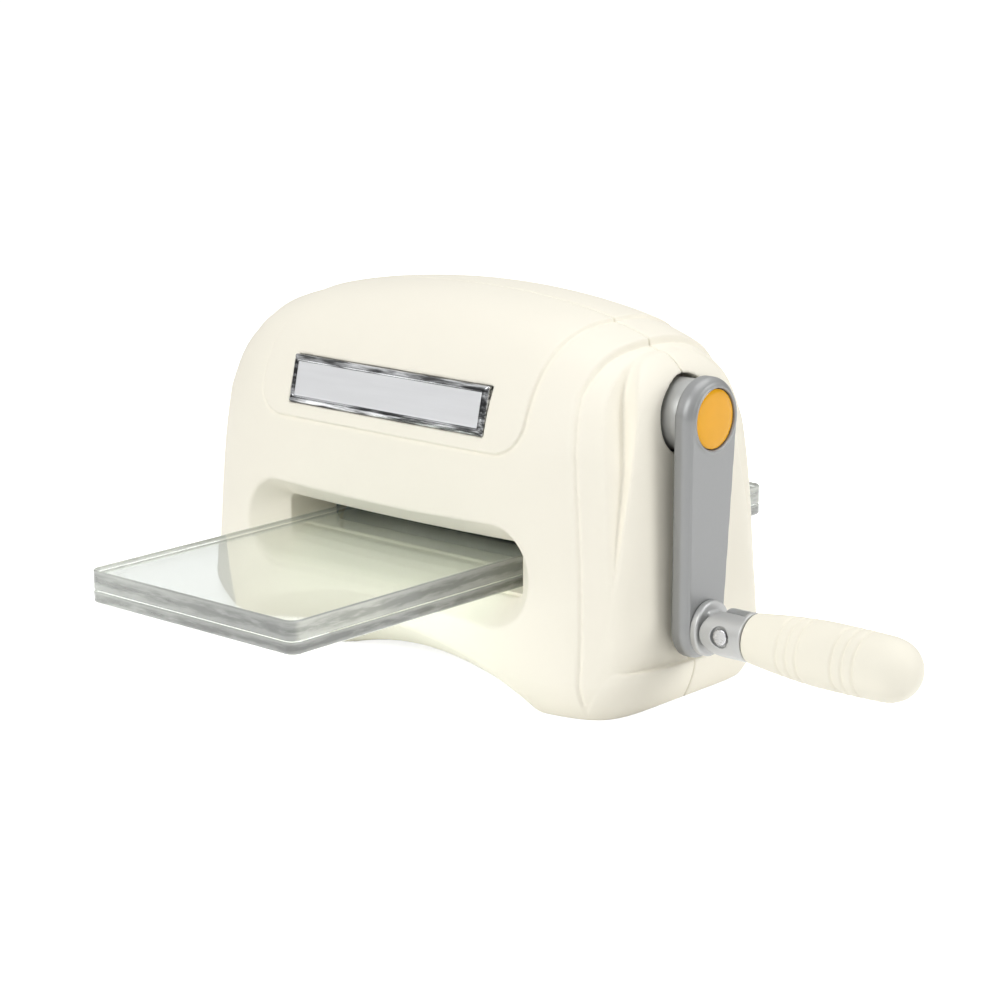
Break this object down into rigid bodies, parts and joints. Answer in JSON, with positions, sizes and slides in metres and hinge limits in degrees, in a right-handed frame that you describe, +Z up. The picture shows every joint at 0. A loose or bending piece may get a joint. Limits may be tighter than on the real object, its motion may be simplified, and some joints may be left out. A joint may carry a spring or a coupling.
{
  "type": "hand-cranked die cutting machine",
  "caption": "Small hand-cranked die cutting machine: rounded moulded body, front-to-back slot, clear cutting plates between geared rollers and a side crank with a folding handle.",
  "frame": {"origin": "on the resting surface, midway between the two end faces of the body and on the parting plane of its two shells", "axes": "+X along the rollers towards the crank, -Y towards the front, +Z up"},
  "size_m": [0.2038, 0.177, 0.0949],
  "materials": {
    "body_plastic": "fine-grained matte moulding",
    "grip_plastic": "satin moulding",
    "silver_paint": "satin silver paint",
    "bright_chrome": "polished plating",
    "label_field": "glossy coated foil",
    "amber_badge": "glossy domed badge",
    "frame_steel": "zinc-plated sheet",
    "roller_steel": "ground",
    "gear_steel": "sintered, lightly greased",
    "bronze": "oiled bronze",
    "clear_acrylic": "clear cast acrylic, cut edges",
    "foot_rubber": "matte"
  },
  "bodies": {
    "housing": {"front_shell": "body_plastic", "rear_shell": "body_plastic", "base_cover": "body_plastic", "rubber_feet": "foot_rubber", "shell_screws": "frame_steel", "label_bezel": "bright_chrome", "label_field": "label_field", "left_frame": "frame_steel", "right_frame": "frame_steel", "gear_plate": "frame_steel", "plate_spacers": "roller_steel", "spacer_screws": "frame_steel", "frame_screws": "frame_steel", "front_guide": "body_plastic", "rear_guide": "body_plastic", "front_tie_rod": "roller_steel", "rear_tie_rod": "roller_steel", "tie_rod_nuts": "bronze", "bush_upper_left": "bronze", "bush_upper_right": "bronze", "bush_lower_left": "bronze", "bush_lower_right": "bronze", "bush_crank_inner": "bronze", "bush_crank_outer": "bronze"},
    "crank": {"crank_shaft": "roller_steel", "crank_pinion": "bronze", "crank_ring": "roller_steel", "crank_hub": "silver_paint", "crank_arm": "silver_paint", "crank_screw": "frame_steel", "arm_badge": "amber_badge", "handle_stud": "silver_paint"},
    "handle": {"handle_fork": "bright_chrome", "fold_pin": "roller_steel", "grip_spindle": "roller_steel"},
    "grip_sleeve": {"grip": "grip_plastic"},
    "upper_roll": {"upper_roller": "roller_steel", "drive_gear": "gear_steel", "upper_sync_gear": "gear_steel", "upper_rings": "roller_steel"},
    "lower_roll": {"lower_roller": "roller_steel", "lower_sync_gear": "gear_steel", "lower_rings": "roller_steel"},
    "plates": {"upper_plate": "clear_acrylic", "lower_plate": "clear_acrylic"}
  },
  "joints": [
    {"name": "crank_turn", "type": "hinge", "parent": "housing", "child": "crank", "pos_m": [0.06, 0, 0.0702], "axis": [1, 0, 0], "range_deg": [-1415, 1022]},
    {"name": "upper_roller_turn", "type": "hinge", "parent": "housing", "child": "upper_roll", "pos_m": [0, 0, 0.0437], "axis": [1, 0, 0], "range_deg": [-438.2, 606.6]},
    {"name": "lower_roller_turn", "type": "hinge", "parent": "housing", "child": "lower_roll", "pos_m": [0, 0, 0.0181], "axis": [1, 0, 0], "range_deg": [-606.6, 438.2]},
    {"name": "plates_slide", "type": "slide", "parent": "housing", "child": "plates", "axis": [0, 1, 0], "range_m": [-0.065, 0.09]},
    {"name": "handle_fold", "type": "hinge", "parent": "crank", "child": "handle", "pos_m": [0.0824, -0.00203, 0.01974], "axis": [0, -0.9992, 0.0401], "range_deg": [0, 85]},
    {"name": "grip_spin", "type": "hinge", "parent": "handle", "child": "grip_sleeve", "pos_m": [0.11, -0.00203, 0.01974], "axis": [1, 0, 0], "continuous": true}
  ],
  "couplings": [
    {"joint": "upper_roller_turn", "follows": "crank_turn", "ratio": -0.42857},
    {"joint": "lower_roller_turn", "follows": "crank_turn", "ratio": 0.42857},
    {"joint": "plates_slide", "follows": "crank_turn", "m_per_rad": -0.0036429}
  ]
}
